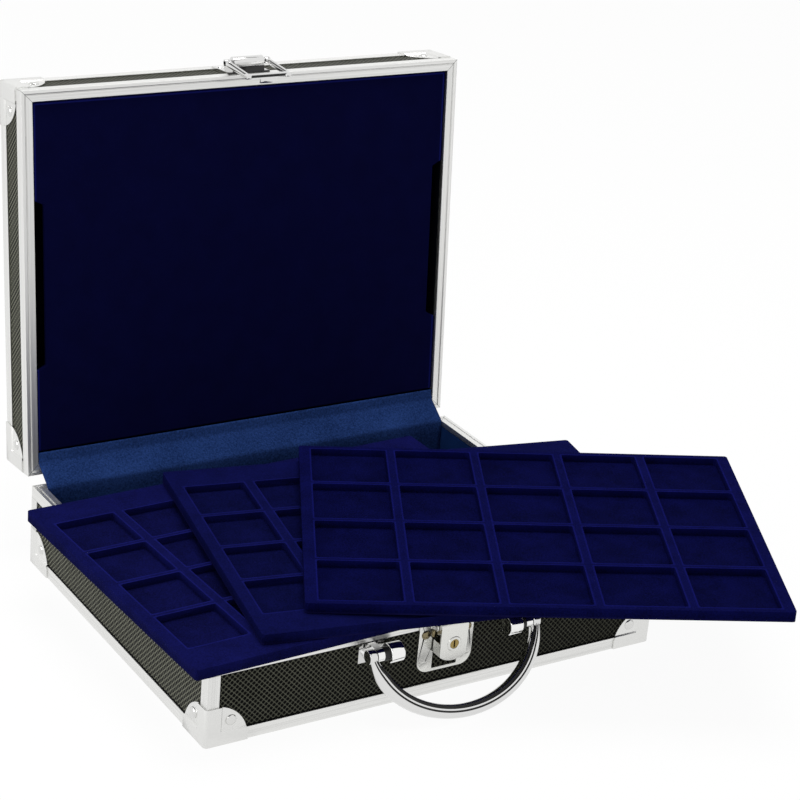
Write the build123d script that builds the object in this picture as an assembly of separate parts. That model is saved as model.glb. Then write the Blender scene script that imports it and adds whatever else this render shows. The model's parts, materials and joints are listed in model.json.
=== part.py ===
from build123d import *

import math
import os

# Aluminium-framed coin case with three flocked trays, in millimetres.
# X runs to the right, Y to the rear, Z up. The origin is the centre of the base's
# footprint, at the height of the surface that the case stands on.
# The lid stands open and the trays lie fanned out on the rim, as in the photograph.

# Shell
CASE_W = 320.0  # over the aluminium profiles, left to right
CASE_D = 254.0  # over the aluminium profiles, front to rear
BASE_H = 54.5  # floor to rim plane
LID_H = 34.0  # rim plane to top of the lid
SHEET = 1.0  # wall of the aluminium profiles
LEG = 8.0  # leg of the L profiles
BOARD = 5.0  # wooden wall and floor boards
LINING = 1.5  # felt glued inside the boards
LIP_T = 0.8  # inner lip of the rim cap
LIP_DROP = 3.0  # how far that lip reaches down over the lining
GROOVE_IN = 2.5  # rim groove, from the outer edge
GROOVE_W = 0.6
GROOVE_DEEP = 0.4
GLUE_GAP = 0.2  # between the lining's edge and the rim lip

# Corner brackets
BRACKET_T = 0.8
BRACKET_FLAT = 9.4  # flat top beside the corner
BRACKET_R = 17.0  # round ear
BRACKET_H = 25.3
BRACKET_FOOT = 0.9  # extra reach of the foot beyond the ear
BRACKET_RIVET = (16.0, 15.6)  # along the wall and up, from the corner
RIVET_SHANK = 1.5
RIVET_HOLE = 1.55
RIVET_HEAD = 3.1
RIVET_DOME = 1.3

# Hinges
OPEN_DEG = 94.6  # lid angle in the photograph, its stop
HINGE_OUT = 4.9  # pin centre behind the rear face
HINGE_DOWN = 1.3  # pin centre below the rim plane
HINGE_X = 95.0  # middle of each hinge from the case's middle
HINGE_W = 36.0
HINGE_MID = 12.0  # knuckle of the lid leaf
HINGE_LEAF_T = 1.2
HINGE_LEAF_H = 22.0
HINGE_KNUCKLE_R = 3.4
HINGE_PIN_R = 1.25
PIN_FIT = 0.05  # radial running clearance of every pin
SIDE_FIT = 0.3  # end clearance beside every knuckle
LEAF_RIVET_R = 2.3

# Lid insert
INSERT_T = 3.0
INSERT_RECESS = 2.0
INSERT_FIT = 0.3
INSERT_HEM = 8.0  # strip of lining left free along the hinge side
NOTCH_DEEP = 7.0
NOTCH_LONG = 106.4  # along the bottom of the notch
NOTCH_SLANT = 4.2  # each end leans out by this much
BATTEN_W = 6.0

# Felt strip over the hinge side
STRIP_T = 1.0
STRIP_W = 304.0
STRIP_UP = 14.0  # on the lid, from its rear face
STRIP_DROP = 26.0  # down the rear wall inside the base

# Lock
LOCK_X = 0.8  # lock and latch, from the middle of the case
PLATE_W = 39.0
PLATE_Z0 = 16.7
PLATE_Z1 = 53.4
PLATE_T = 1.0
PLATE_R = 8.0
WINDOW_W = 17.8
WINDOW_Z = (18.8, 35.5)
LEVER_W = 19.4
LEVER_T = 1.2
LEVER_OUT = 10.0  # face of the lever in front of the case
LEVER_Z0 = 27.2
LEVER_SIDE_Z1 = 39.5  # the side walls end here, below the knuckle
LEVER_SAG = 3.8  # curve of the lower edge
LEVER_BACK = 2.0  # the side walls end this far in front of the case
LEVER_PIN = (-5.0, 49.5)  # in front of the case, and height
LEVER_PIN_R = 1.0
LEVER_KNUCKLE_R = 3.7
LEVER_EAR_T = 1.2
PLUG_R = 3.0
PLUG_Z = 38.6
PLUG_RING_R = 4.8
CAM_T = 1.0
CAM_REACH = 7.0
LOCK_RIVETS = ((-14.8, 43.0), (-8.0, 43.0), (14.8, 43.0), (-14.8, 21.5), (14.8, 21.5))

# Latch on the lid
LATCH_W = 30.0
LATCH_V = (4.0, 29.0)  # from the rim plane into the lid
LATCH_T = 1.0
LATCH_PIN = (8.0, 7.0)  # into the lid, and in front of its wall
LATCH_PIN_R = 1.2
BOSS_W = 22.0
BOSS_R = 3.6
LOOP_W = 33.0
LOOP_BAR = 3.6
LOOP_T = 2.6
LOOP_LONG = 31.0
LOOP_TILT = 7.5  # the loop's free end leans to the wall
TONGUE_W = 11.0
TONGUE_DROP = 7.0
TONGUE_T = 1.6

# Carrying handle
HANDLE_X = 1.0
HANDLE_HALF = 61.0  # outer half width
HANDLE_LONG = 47.8  # pivot to outer edge
HANDLE_W = 8.0
HANDLE_T = 5.0
HANDLE_ROUND = 2.2
HANDLE_HANG = 57.5  # degrees below level, resting on the table
PIVOT_OUT = 9.0
PIVOT_Z = 42.0
EYE_R = 4.6
HANDLE_PIN_R = 2.0
MOUNT_W = 20.0
MOUNT_Z = (33.5, 46.2)
MOUNT_T = 1.5
ARM_T = 4.5
ARM_H = 8.0
BOSS_D = 12.6
BOSS_L = 13.0

# Trays
TRAY_W = 291.6
TRAY_D = 221.0
TRAY_T = 6.7
TRAY_GAP = 0.3
TRAY_BOARD = 1.0  # board glued under the flocked moulding
TRAY_ROUND = 2.0
CELL_DEEP = 4.9
CELL_ROUND = 2.0
ROW_WALL = 4.0
END_BORDER = 8.0
BIG_CELL = 50.0
BIG_COLUMNS = 5
BIG_ROWS = 4
SMALL_CELL = 40.0
SMALL_COLUMNS = 6
SMALL_ROWS = 4
# middle of each tray in X and Y, its turn about Z, and its tilt about its own Y
LOWER_AT = (-32.95, -23.49, 2.15)
MIDDLE_AT = (36.63, -47.88, -10.93)
UPPER_AT = (87.80, -86.83, -28.03)
UPPER_TILT = -1.6

CAP = SHEET + BOARD + LINING  # width of the rim
IN_W = CASE_W - 2 * CAP
IN_D = CASE_D - 2 * CAP
HINGE_Y = CASE_D / 2 + HINGE_OUT
HINGE_Z = BASE_H - HINGE_DOWN
FRONT = -CASE_D / 2
REAR = CASE_D / 2

os.makedirs("parts", exist_ok=True)


def block(x0, x1, y0, y1, z0, z1):
    """A box between two limits along each axis."""
    size = Box(x1 - x0, y1 - y0, z1 - z0)
    return Pos((x0 + x1) / 2, (y0 + y1) / 2, (z0 + z1) / 2) * size


def slab(w, d, z0, z1):
    """A box centred on the origin in X and Y."""
    return block(-w / 2, w / 2, -d / 2, d / 2, z0, z1)


def rod(radius, start, end):
    """A round bar between two points."""
    a, b = Vector(*start), Vector(*end)
    plane = Plane(origin=a, z_dir=b - a)
    return extrude(plane * Circle(radius), (b - a).length)


def dome(radius, height, shank_r, shank, at, towards):
    """A round-headed rivet, its head's underside at a point and its head towards a direction."""
    ball = (radius**2 + height**2) / (2 * height)
    arc = ThreePointArc(
        (radius, 0),
        (
            ball * math.sin(math.asin(radius / ball) / 2),
            ball * math.cos(math.asin(radius / ball) / 2) - ball + height,
        ),
        (0, height),
    )
    outline = Polyline((0, height), (0, -shank), (shank_r, -shank), (shank_r, 0), (radius, 0))
    half = make_face(Plane.XZ * (outline + arc))
    turned = revolve(half, Axis.Z)
    return Plane(origin=Vector(*at), z_dir=Vector(*towards)) * turned


def at_corners(shape):
    """Copies of a piece made at the front left corner, one for each corner."""
    places = (
        Pos(-CASE_W / 2, -CASE_D / 2, 0),
        Pos(CASE_W / 2, -CASE_D / 2, 0) * Rot(0, 0, 90),
        Pos(CASE_W / 2, CASE_D / 2, 0) * Rot(0, 0, 180),
        Pos(-CASE_W / 2, CASE_D / 2, 0) * Rot(0, 0, 270),
    )
    return [place * shape for place in places]


def joined(shapes):
    """One solid out of several that touch or cross."""
    shapes = list(shapes)
    return shapes[0].fuse(*shapes[1:]) if len(shapes) > 1 else shapes[0]


# The base and the lid are the same kind of tray-shaped shell, so each is built as a
# shell standing on its closed side, and the lid's is turned over afterwards.


def edge_ring():
    """The L profile round the closed side."""
    ring = slab(CASE_W, CASE_D, 0, LEG)
    ring -= slab(CASE_W - 2 * SHEET, CASE_D - 2 * SHEET, SHEET, LEG + 1)
    ring -= slab(CASE_W - 2 * LEG, CASE_D - 2 * LEG, -1, LEG)
    return ring


def rim_ring(height):
    """The cap profile round the open side, with its groove and its inner lip."""
    top = height - SHEET
    ring = slab(CASE_W, CASE_D, height - LEG, height)
    ring -= slab(CASE_W - 2 * SHEET, CASE_D - 2 * SHEET, height - LEG - 1, top)
    ring -= slab(IN_W, IN_D, height - LEG - 1, height + 1)
    lip = slab(IN_W + 2 * LIP_T, IN_D + 2 * LIP_T, top - LIP_DROP, top)
    ring += lip - slab(IN_W, IN_D, 0, height)
    near = 2 * GROOVE_IN
    far = 2 * (GROOVE_IN + GROOVE_W)
    groove = slab(CASE_W - near, CASE_D - near, height - GROOVE_DEEP, height + 1)
    groove -= slab(CASE_W - far, CASE_D - far, 0, height + 1)
    return ring - groove


def wall_boards(height):
    """The front, rear, left and right boards, in that order."""
    x, y = CASE_W / 2 - SHEET, CASE_D / 2 - SHEET
    top = height - SHEET
    front = block(-x, x, -y, -y + BOARD, SHEET, top)
    rear = block(-x, x, y - BOARD, y, SHEET, top)
    left = block(-x, -x + BOARD, -y + BOARD, y - BOARD, SHEET, top)
    right = block(x - BOARD, x, -y + BOARD, y - BOARD, SHEET, top)
    return front, rear, left, right


def floor_board():
    """The board inside the four walls, on the legs of the edge profile."""
    w = CASE_W - 2 * SHEET - 2 * BOARD
    d = CASE_D - 2 * SHEET - 2 * BOARD
    return slab(w, d, SHEET, SHEET + BOARD)


def felt_lining(height):
    """Felt over the floor board and up the walls to the rim's lip."""
    w = CASE_W - 2 * SHEET - 2 * BOARD
    d = CASE_D - 2 * SHEET - 2 * BOARD
    top = height - SHEET - LIP_DROP - GLUE_GAP
    floor = SHEET + BOARD
    return slab(w, d, floor, top) - slab(IN_W, IN_D, floor + LINING, top + 1)


def corner_posts(height):
    """Upright L profiles between the edge ring and the rim."""
    post = block(0, LEG, 0, LEG, LEG, height - LEG)
    post -= block(SHEET, LEG + 1, SHEET, LEG + 1, 0, height)
    return at_corners(post)


def bracket_outline():
    """Outline of one leaf of a corner bracket, along the wall and up."""
    c = (BRACKET_FLAT + 0.2, BRACKET_H - BRACKET_R)
    mid = (c[0] + BRACKET_R * math.sqrt(0.5), c[1] + BRACKET_R * math.sqrt(0.5))
    far = c[0] + BRACKET_R
    arc = ThreePointArc((c[0], BRACKET_H), mid, (far, c[1]))
    rest = Polyline(
        (far, c[1]), (far + BRACKET_FOOT, 0), (-BRACKET_T, 0), (-BRACKET_T, BRACKET_H), (c[0], BRACKET_H)
    )
    return make_face(arc + rest)


def corner_bracket():
    """A sheet bent round the corner, with round ears that reach down to the boards."""
    face = Plane.XZ * bracket_outline()
    sheet = extrude(face, BRACKET_T)
    ear = extrude(face, -SHEET) & block(LEG, 99, 0, SHEET, LEG, 99)
    along, up = BRACKET_RIVET
    hole = rod(RIVET_HOLE, (along, -2, up), (along, 2, up))
    leaf = sheet + ear - hole
    other = Rot(0, 0, 90) * leaf
    other = other.mirror(Plane.YZ)
    return joined([leaf, other])


def corner_rivets():
    """Two dome-headed rivets for each bracket."""
    along, up = BRACKET_RIVET
    reach = BRACKET_T + SHEET
    sizes = (RIVET_HEAD, RIVET_DOME, RIVET_SHANK, reach)
    one = dome(*sizes, (along, -BRACKET_T, up), (0, -1, 0))
    two = dome(*sizes, (-BRACKET_T, along, up), (-1, 0, 0))
    return at_corners(one) + at_corners(two)


def write(name, shapes):
    """Writes one node's solids."""
    shapes = shapes if isinstance(shapes, (list, tuple)) else [shapes]
    solids = [s for shape in shapes for s in shape.solids()]
    whole = Compound(children=solids) if len(solids) > 1 else solids[0]
    whole.label = name
    export_step(whole, "parts/" + name + ".step")


# Base shell

front, rear, left, right = wall_boards(BASE_H)
write("base_bottom_edges", edge_ring())
write("base_rim", rim_ring(BASE_H))
write("base_front_panel", front)
write("base_rear_panel", rear)
write("base_left_panel", left)
write("base_right_panel", right)
write("base_bottom_panel", floor_board())
write("base_lining", felt_lining(BASE_H))
write("base_corner_posts", corner_posts(BASE_H))
write("base_corner_brackets", at_corners(corner_bracket()))
write("base_corner_rivets", corner_rivets())

# Lid shell, turned over onto the rim and then swung open about the hinge pins


def turned(shape):
    """Turns a shell over, so that its rim meets the base's rim."""
    return Pos(0, 0, BASE_H + LID_H) * Rot(180, 0, 0) * shape


def opened(shape):
    """Swings a piece of the closed lid to the angle of the photograph."""
    place = Pos(0, HINGE_Y, HINGE_Z) * Rot(-OPEN_DEG, 0, 0) * Pos(0, -HINGE_Y, -HINGE_Z)
    if isinstance(shape, (list, tuple)):
        return [place * s for s in shape]
    return place * shape


rear, front, left, right = wall_boards(LID_H)
write("lid_edges", opened(turned(edge_ring())))
write("lid_rim", opened(turned(rim_ring(LID_H))))
write("lid_front_panel", opened(turned(front)))
write("lid_rear_panel", opened(turned(rear)))
write("lid_left_panel", opened(turned(left)))
write("lid_right_panel", opened(turned(right)))
write("lid_top_panel", opened(turned(floor_board())))
write("lid_lining", opened(turned(felt_lining(LID_H))))
write("lid_corner_posts", opened([turned(p) for p in corner_posts(LID_H)]))
write("lid_corner_brackets", opened([turned(b) for b in at_corners(corner_bracket())]))
write("lid_corner_rivets", opened([turned(r) for r in corner_rivets()]))

# Insert panel of the lid, on two battens, with a thumb notch at each side

insert_z0 = BASE_H + INSERT_RECESS
insert_z1 = insert_z0 + INSERT_T
insert_x = IN_W / 2 - INSERT_FIT
insert_y0 = -IN_D / 2 + INSERT_FIT
insert_y1 = IN_D / 2 - INSERT_HEM
insert = block(-insert_x, insert_x, insert_y0, insert_y1, insert_z0, insert_z1)
for side in (-1, 1):
    edge, depth = side * (insert_x + 1), side * (insert_x - NOTCH_DEEP)
    short, wide = NOTCH_LONG / 2, NOTCH_LONG / 2 + NOTCH_SLANT
    outline = Polyline((edge, -wide), (depth, -short), (depth, short), (edge, wide), (edge, -wide))
    insert -= Pos(0, 0, insert_z0 - 1) * extrude(make_face(outline), INSERT_T + 2, dir=(0, 0, 1))
write("lid_insert_panel", opened(insert))

batten_z1 = BASE_H + LID_H - SHEET - BOARD - LINING
front_batten = block(-IN_W / 2, IN_W / 2, -IN_D / 2, -IN_D / 2 + BATTEN_W, insert_z1, batten_z1)
rear_batten = block(-IN_W / 2, IN_W / 2, insert_y1 - BATTEN_W, insert_y1, insert_z1, batten_z1)
write("lid_battens", opened([front_batten, rear_batten]))

# Hinges: two, each with interleaved knuckles on a pin


def leaf_rivet_places(middle, up):
    """Where a leaf's three rivets go, in X and Z."""
    z = BASE_H + up * (LEG + (HINGE_LEAF_H - LEG) / 2 + 1)
    return [(middle + x, z) for x in (-HINGE_W / 3, 0, HINGE_W / 3)]


def hinge_leaf(middle, up, knuckles):
    """One leaf on the rear wall, up or down from the pin, with its knuckles."""
    half = HINGE_W / 2
    z_root = HINGE_Z + up * (HINGE_DOWN + 0.5)
    z_tip = z_root + up * HINGE_LEAF_H
    low, high = min(z_root, z_tip), max(z_root, z_tip)
    shapes = [block(middle - half, middle + half, REAR, REAR + HINGE_LEAF_T, low, high)]
    flange = BASE_H + up * LEG
    pad_low, pad_high = min(flange, z_tip), max(flange, z_tip)
    shapes.append(block(middle - half, middle + half, REAR - SHEET, REAR, pad_low, pad_high))
    for x0, x1 in knuckles:
        z_side = HINGE_Z + up * HINGE_KNUCKLE_R
        reach = (min(HINGE_Z, z_side), max(HINGE_Z, z_side))
        shapes.append(rod(HINGE_KNUCKLE_R, (middle + x0, HINGE_Y, HINGE_Z), (middle + x1, HINGE_Y, HINGE_Z)))
        shapes.append(block(middle + x0, middle + x1, REAR, HINGE_Y, *reach))
    leaf = joined(shapes)
    leaf -= rod(HINGE_PIN_R + PIN_FIT, (middle - half, HINGE_Y, HINGE_Z), (middle + half, HINGE_Y, HINGE_Z))
    for x, z in leaf_rivet_places(middle, up):
        leaf -= rod(1.05, (x, REAR - 5, z), (x, REAR + 5, z))
    return leaf


def leaf_rivets(middle, up):
    """A leaf's three rivets."""
    heads = []
    for x, z in leaf_rivet_places(middle, up):
        at = (x, REAR + HINGE_LEAF_T, z)
        heads.append(dome(LEAF_RIVET_R, 0.9, 1.0, HINGE_LEAF_T + SHEET, at, (0, 1, 0)))
    return heads


outer_knuckles = (
    (-HINGE_W / 2, -HINGE_MID / 2 - SIDE_FIT),
    (HINGE_MID / 2 + SIDE_FIT, HINGE_W / 2),
)
middle_knuckle = ((-HINGE_MID / 2, HINGE_MID / 2),)
hinge_places = (-HINGE_X, HINGE_X)
base_leaves = [hinge_leaf(x, -1, outer_knuckles) for x in hinge_places]
lid_leaves = [hinge_leaf(x, 1, middle_knuckle) for x in hinge_places]
pins = [
    rod(HINGE_PIN_R, (x - HINGE_W / 2, HINGE_Y, HINGE_Z), (x + HINGE_W / 2, HINGE_Y, HINGE_Z))
    for x in hinge_places
]
write("base_hinge_leaves", base_leaves)
write("lid_hinge_leaves", opened(lid_leaves))
write("hinge_pins", pins)
write("base_hinge_rivets", [r for x in hinge_places for r in leaf_rivets(x, -1)])
write("lid_hinge_rivets", opened([r for x in hinge_places for r in leaf_rivets(x, 1)]))

# Felt strip that hides the hinge side: over the lid's rim, across the gap and down the
# rear wall inside the base


def lid_point(y, z):
    """Where a point of the closed lid's section lies with the lid open."""
    turn = math.radians(OPEN_DEG)
    dy, dz = y - HINGE_Y, z - HINGE_Z
    return (
        HINGE_Y + dy * math.cos(turn) + dz * math.sin(turn),
        HINGE_Z - dy * math.sin(turn) + dz * math.cos(turn),
    )


strip_gap = 0.3
in_rear = IN_D / 2
corner = lid_point(in_rear - strip_gap, BASE_H - strip_gap)
top = lid_point(REAR - STRIP_UP, BASE_H + INSERT_RECESS - strip_gap)
knee = (in_rear - strip_gap, BASE_H + 0.6)
foot = (in_rear - strip_gap, BASE_H - STRIP_DROP)
route = Polyline(top, corner, knee, foot)
strip_edge = offset(route, STRIP_T, side=Side.RIGHT, closed=True)
strip_face = make_face(Plane.YZ * strip_edge)
strip = Pos(-STRIP_W / 2, 0, 0) * extrude(strip_face, STRIP_W, dir=(1, 0, 0))
write("hinge_strip", strip)

# Lock: plate on the front wall, lever that swings up on a pin, key plug with its cam

plate_y = FRONT - PLATE_T
plate_mid = (PLATE_Z0 + PLATE_Z1) / 2
plate_tall = PLATE_Z1 - PLATE_Z0
panel_y = FRONT + SHEET
flange_z = BASE_H - LEG
rounded = RectangleRounded(PLATE_W, plate_tall + PLATE_R, PLATE_R)
outline = Pos(LOCK_X, plate_mid + PLATE_R / 2) * rounded
plate = extrude(Plane((0, FRONT, 0), (1, 0, 0), (0, -1, 0)) * outline, PLATE_T)
plate += extrude(Plane((0, panel_y, 0), (1, 0, 0), (0, -1, 0)) * outline, SHEET) & block(
    -99, 99, FRONT, panel_y, 0, flange_z
)
plate &= block(-99, 99, -199, 0, 0, PLATE_Z1)
ear_y = FRONT + LEVER_PIN[0]
ear_x = LEVER_W / 2 + SIDE_FIT
for side in (-1, 1):
    x0 = LOCK_X + side * ear_x
    x1 = LOCK_X + side * (ear_x + LEVER_EAR_T)
    near, far = min(x0, x1), max(x0, x1)
    ear = block(near, far, ear_y, FRONT - PLATE_T, LEVER_PIN[1] - 2.4, LEVER_PIN[1] + 2.4)
    ear += rod(2.4, (near, ear_y, LEVER_PIN[1]), (far, ear_y, LEVER_PIN[1]))
    plate += ear
plate -= rod(LEVER_PIN_R + PIN_FIT, (-60, ear_y, LEVER_PIN[1]), (60, ear_y, LEVER_PIN[1]))
half_window = WINDOW_W / 2
plate -= block(LOCK_X - half_window, LOCK_X + half_window, FRONT - 9, panel_y, *WINDOW_Z)
for x, z in LOCK_RIVETS:
    plate -= rod(RIVET_HOLE, (LOCK_X + x, FRONT - 5, z), (LOCK_X + x, panel_y, z))
write("lock_plate", plate)

lever_pin_half = ear_x + LEVER_EAR_T + 0.5
write(
    "lock_hinge_pin",
    rod(
        LEVER_PIN_R,
        (LOCK_X - lever_pin_half, ear_y, LEVER_PIN[1]),
        (LOCK_X + lever_pin_half, ear_y, LEVER_PIN[1]),
    ),
)

heads = []
for x, z in LOCK_RIVETS:
    reach = PLATE_T + (SHEET if z < flange_z - RIVET_HOLE else 0)
    at = (LOCK_X + x, FRONT - PLATE_T, z)
    heads.append(dome(2.6, 1.2, RIVET_SHANK, reach, at, (0, -1, 0)))
write("lock_rivets", heads)

half = LEVER_W / 2
face_y = FRONT - LEVER_OUT
pin_z = LEVER_PIN[1]
low = LEVER_Z0 + LEVER_SAG
shield = make_face(
    Polyline((-half, low), (-half, pin_z), (half, pin_z), (half, low))
    + ThreePointArc((half, low), (0, LEVER_Z0), (-half, low))
)
lever_plane = Plane((LOCK_X, face_y, 0), (1, 0, 0), (0, -1, 0))
shield = lever_plane * shield
solid = extrude(shield, -(LEVER_OUT - LEVER_BACK))
hollow = extrude(offset(shield, -LEVER_T), -(LEVER_OUT - LEVER_BACK))
hollow = Pos(0, LEVER_T, 0) * hollow
lever = solid - hollow
lever -= block(-99, 99, face_y + LEVER_T, FRONT, LEVER_SIDE_Z1, 99)
# knuckle round the pin, clear of the plate behind it and of the tray above it
front_round = rod(LEVER_OUT + LEVER_PIN[0], (LOCK_X - half, ear_y, pin_z), (LOCK_X + half, ear_y, pin_z))
front_round &= block(-99, 99, face_y, ear_y, pin_z - 99, pin_z + LEVER_KNUCKLE_R)
barrel = rod(LEVER_KNUCKLE_R, (LOCK_X - half, ear_y, pin_z), (LOCK_X + half, ear_y, pin_z))
lever = joined([lever, front_round, barrel])
# ring and barrel of the key plug
lever += rod(PLUG_RING_R, (LOCK_X, face_y - 0.6, PLUG_Z), (LOCK_X, face_y, PLUG_Z))
barrel_end = FRONT - LEVER_BACK - CAM_T - 1.0
lever += rod(PLUG_R + 1.4, (LOCK_X, face_y, PLUG_Z), (LOCK_X, barrel_end, PLUG_Z))
lever -= rod(PLUG_R + PIN_FIT, (LOCK_X, face_y - 5, PLUG_Z), (LOCK_X, FRONT, PLUG_Z))
lever -= rod(LEVER_PIN_R + PIN_FIT, (-60, ear_y, pin_z), (60, ear_y, pin_z))
write("lock_lever", lever)

plug = rod(PLUG_R, (LOCK_X, face_y - 0.3, PLUG_Z), (LOCK_X, barrel_end + 0.2, PLUG_Z))
plug -= block(LOCK_X - 0.5, LOCK_X + 0.5, face_y - 1, face_y + 2.5, PLUG_Z - 2.3, PLUG_Z + 2.3)
cam = block(
    LOCK_X - 1.6,
    LOCK_X + 1.6,
    barrel_end + 0.2,
    barrel_end + 0.2 + CAM_T,
    PLUG_Z - CAM_REACH,
    PLUG_Z + 1.6,
)
write("lock_plug", joined([plug, cam]))

# Latch on the lid's front wall: plate with a rounded hinge boss, and a loop on a pin

wall_y = FRONT
plate_z = (BASE_H + LATCH_V[0], BASE_H + LATCH_V[1])
latch_x0, latch_x1 = LOCK_X - LATCH_W / 2, LOCK_X + LATCH_W / 2
latch = block(latch_x0, latch_x1, wall_y - LATCH_T, wall_y, *plate_z)
pad_top = min(plate_z[1], BASE_H + LID_H - LEG)
latch += block(latch_x0, latch_x1, wall_y, wall_y + SHEET, BASE_H + LEG, pad_top)
pin_y = wall_y - LATCH_PIN[1]
pin_up = BASE_H + LATCH_PIN[0]
boss_x0, boss_x1 = LOCK_X - BOSS_W / 2, LOCK_X + BOSS_W / 2
latch += rod(BOSS_R, (boss_x0, pin_y, pin_up), (boss_x1, pin_y, pin_up))
boss_side = make_face(
    Plane.YZ
    * Polyline(
        (pin_y - 0.8, pin_up + BOSS_R - 0.1),
        (wall_y - LATCH_T, plate_z[1] - 9),
        (wall_y - LATCH_T, plate_z[0]),
        (pin_y, pin_up - BOSS_R + 0.01),
        (pin_y - 0.8, pin_up + BOSS_R - 0.1),
    )
)
latch += Pos(boss_x0, 0, 0) * extrude(boss_side, BOSS_W, dir=(1, 0, 0))
latch -= rod(LATCH_PIN_R + PIN_FIT, (-60, pin_y, pin_up), (60, pin_y, pin_up))
latch_rivet_x = LATCH_W / 2 - 3.2
for side in (-1, 1):
    x = LOCK_X + side * latch_rivet_x
    latch -= rod(RIVET_HOLE, (x, wall_y - 5, plate_z[1] - 5), (x, wall_y + SHEET, plate_z[1] - 5))
write("latch_plate", opened(latch))
pin_half = LOOP_W / 2
write("latch_pin", opened(rod(LATCH_PIN_R, (LOCK_X - pin_half, pin_y, pin_up), (LOCK_X + pin_half, pin_y, pin_up))))
heads = []
for side in (-1, 1):
    at = (LOCK_X + side * latch_rivet_x, wall_y - LATCH_T, plate_z[1] - 5)
    heads.append(dome(2.4, 1.2, RIVET_SHANK, LATCH_T + SHEET, at, (0, -1, 0)))
write("latch_rivets", opened(heads))

# the loop is drawn flat, hanging straight down from the pin, and then leaned in
outer = LOOP_W / 2
inner = outer - LOOP_BAR
loop = block(-outer, outer, -LOOP_T / 2, LOOP_T / 2, -LOOP_LONG, 0)
loop -= block(-inner, inner, -9, 9, -LOOP_LONG + LOOP_BAR, 9)
for side in (-1, 1):
    x0, x1 = sorted((side * outer, side * inner))
    loop += rod(2.2, (x0, 0, 0), (x1, 0, 0))
    rib_x = side * (outer + inner) / 2
    loop -= rod(0.5, (rib_x, -LOOP_T / 2, -LOOP_LONG + LOOP_BAR), (rib_x, -LOOP_T / 2, -4))
tongue_z = -LOOP_LONG + LOOP_BAR / 2
loop += block(
    -TONGUE_W / 2, TONGUE_W / 2, 0, LOOP_T / 2 + TONGUE_DROP, tongue_z - TONGUE_T / 2, tongue_z + TONGUE_T / 2
)
loop -= rod(LATCH_PIN_R + PIN_FIT, (-60, 0, 0), (60, 0, 0))
loop = Pos(LOCK_X, pin_y, pin_up) * Rot(LOOP_TILT, 0, 0) * loop
write("latch_loop", opened(loop))

# Carrying handle: two mounts with bosses and pins, and the bail between them

pivot_y = FRONT - PIVOT_OUT
leg_x = HANDLE_HALF - HANDLE_T / 2
eye_x = (HANDLE_HALF - HANDLE_T - 0.4, HANDLE_HALF)
arm_x = (eye_x[0] - SIDE_FIT - ARM_T, eye_x[0] - SIDE_FIT)
boss_x = (arm_x[0] - BOSS_L, arm_x[0])
mounts, bosses, handle_pins = [], [], []
for side in (-1, 1):
    def across(x0, x1, side=side):
        """Limits in X on one side of the handle's middle."""
        return sorted((HANDLE_X + side * x0, HANDLE_X + side * x1))

    plate_x = across(eye_x[1] + 0.7 - MOUNT_W, eye_x[1] + 0.7)
    mount = block(*plate_x, panel_y - MOUNT_T, panel_y, *MOUNT_Z)
    arm = across(*arm_x)
    mount += block(*arm, pivot_y, panel_y - MOUNT_T, PIVOT_Z - ARM_H / 2, PIVOT_Z + ARM_H / 2)
    mount += rod(ARM_H / 2, (arm[0], pivot_y, PIVOT_Z), (arm[1], pivot_y, PIVOT_Z))
    mount -= rod(HANDLE_PIN_R + PIN_FIT, (arm[0] - 1, pivot_y, PIVOT_Z), (arm[1] + 1, pivot_y, PIVOT_Z))
    mounts.append(mount)
    near, far = HANDLE_X + side * boss_x[0], HANDLE_X + side * boss_x[1]
    depth = HANDLE_X + side * (boss_x[0] + 2)
    cap = rod(BOSS_D / 2, (near, pivot_y, PIVOT_Z), (far, pivot_y, PIVOT_Z))
    cap = fillet(cap.edges().group_by(Axis.X)[0 if side > 0 else -1], 1.2)
    cap -= rod(HANDLE_PIN_R + PIN_FIT, (depth, pivot_y, PIVOT_Z), (far, pivot_y, PIVOT_Z))
    bosses.append(cap)
    end = HANDLE_X + side * (HANDLE_HALF - 0.2)
    handle_pins.append(rod(HANDLE_PIN_R, (depth, pivot_y, PIVOT_Z), (end, pivot_y, PIVOT_Z)))
write("handle_mounts", mounts)
write("handle_bosses", bosses)
write("handle_pins", handle_pins)

bail_long = HANDLE_LONG - HANDLE_T / 2
path = EllipticalCenterArc((0, 0), leg_x, bail_long, start_angle=180, arc_size=180)
section = Plane(origin=path @ 0, x_dir=(0, 0, 1), z_dir=path % 0)
bail = sweep(section * RectangleRounded(HANDLE_W, HANDLE_T, HANDLE_ROUND), path)
for side in (-1, 1):
    x0, x1 = sorted((side * eye_x[0], side * eye_x[1]))
    bail += rod(EYE_R, (x0, 0, 0), (x1, 0, 0))
bail -= rod(HANDLE_PIN_R + PIN_FIT, (-99, 0, 0), (99, 0, 0))
bail = Pos(HANDLE_X, pivot_y, PIVOT_Z) * Rot(HANDLE_HANG, 0, 0) * bail
write("handle_bail", bail)

# Trays: a flocked moulding with rows of square cells, on a thin board


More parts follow.
